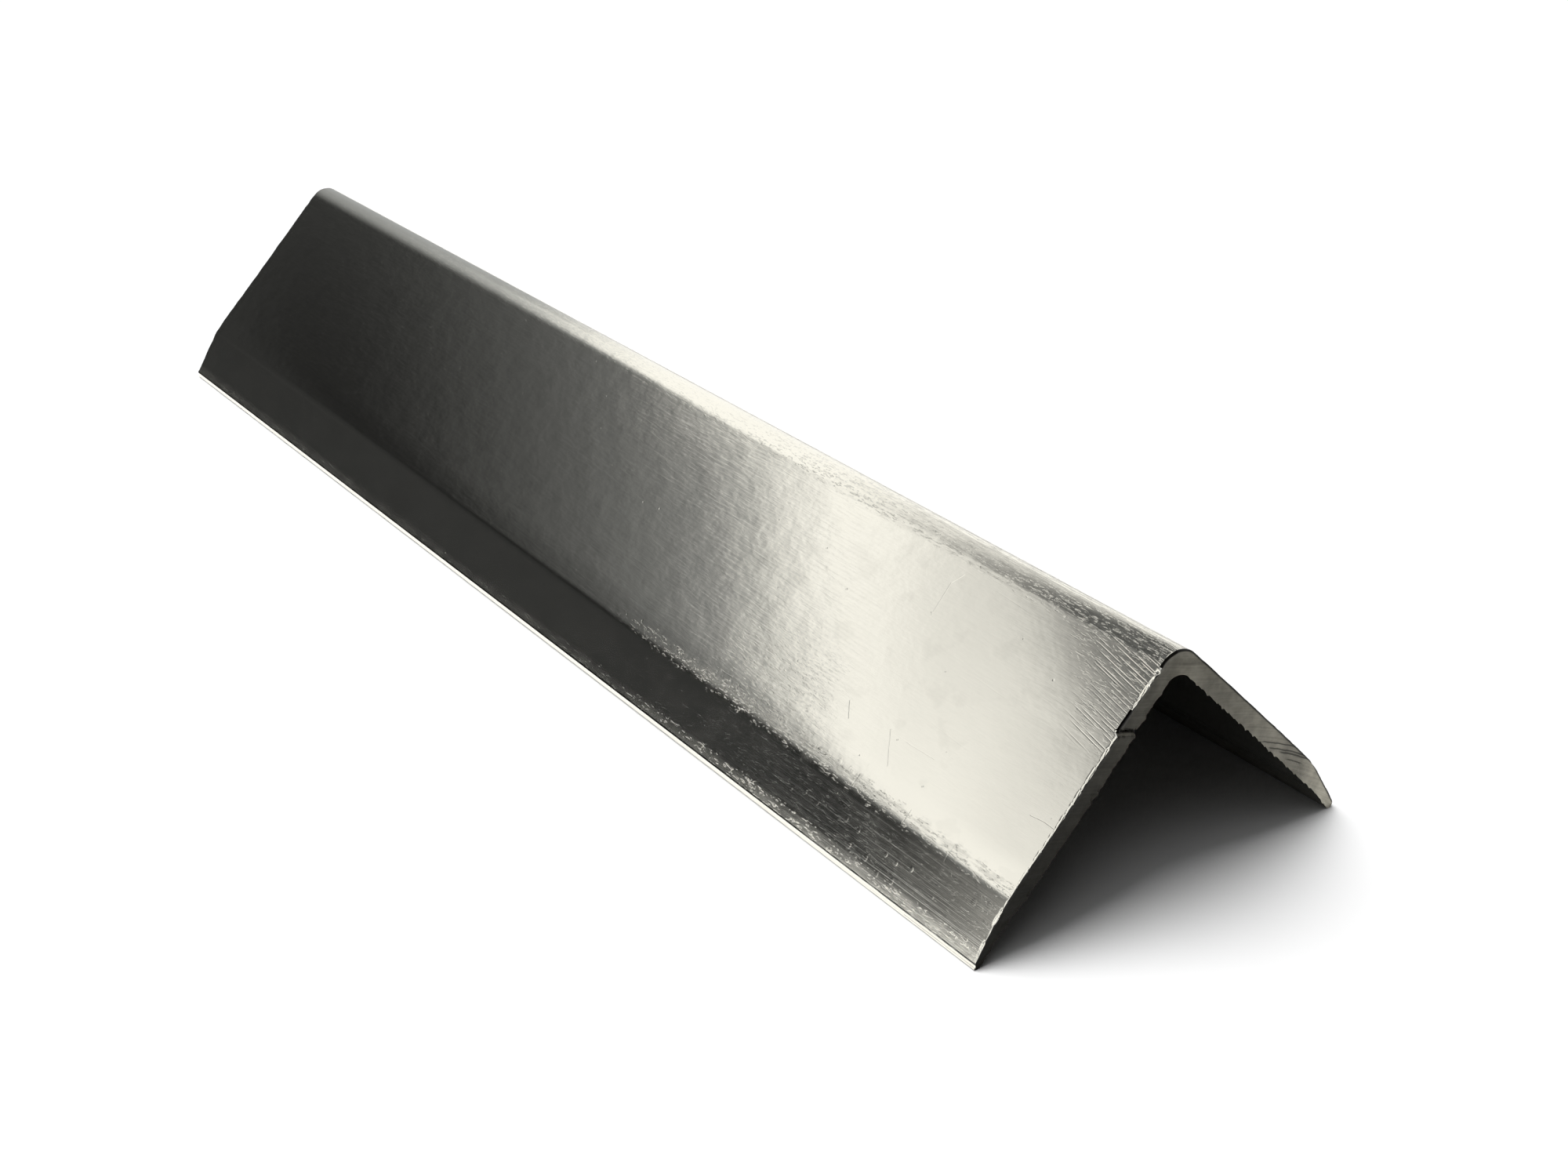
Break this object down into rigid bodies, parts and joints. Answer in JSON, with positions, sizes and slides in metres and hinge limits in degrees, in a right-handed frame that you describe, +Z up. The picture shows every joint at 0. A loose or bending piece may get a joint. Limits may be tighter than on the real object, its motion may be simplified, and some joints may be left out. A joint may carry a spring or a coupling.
{
  "type": "metal angle section",
  "caption": "Equal-leg metal angle section with a rounded heel, tapered round toes and sawn ends, standing like a tent on its toes.",
  "frame": {"origin": "mid-length, midway between the two toes, at the level of the floor that the toes stand on", "axes": "+X along the stock towards its unevenly sawn end; +Z up through the heel; one leg runs down to -Y and the other to +Y, both at 45 degrees"},
  "size_m": [0.13, 0.0336, 0.0179],
  "materials": {
    "aluminium": "satin mill finish with fine lines along the length"
  },
  "bodies": {
    "root": {"angle_section": "aluminium"}
  },
  "joints": []
}
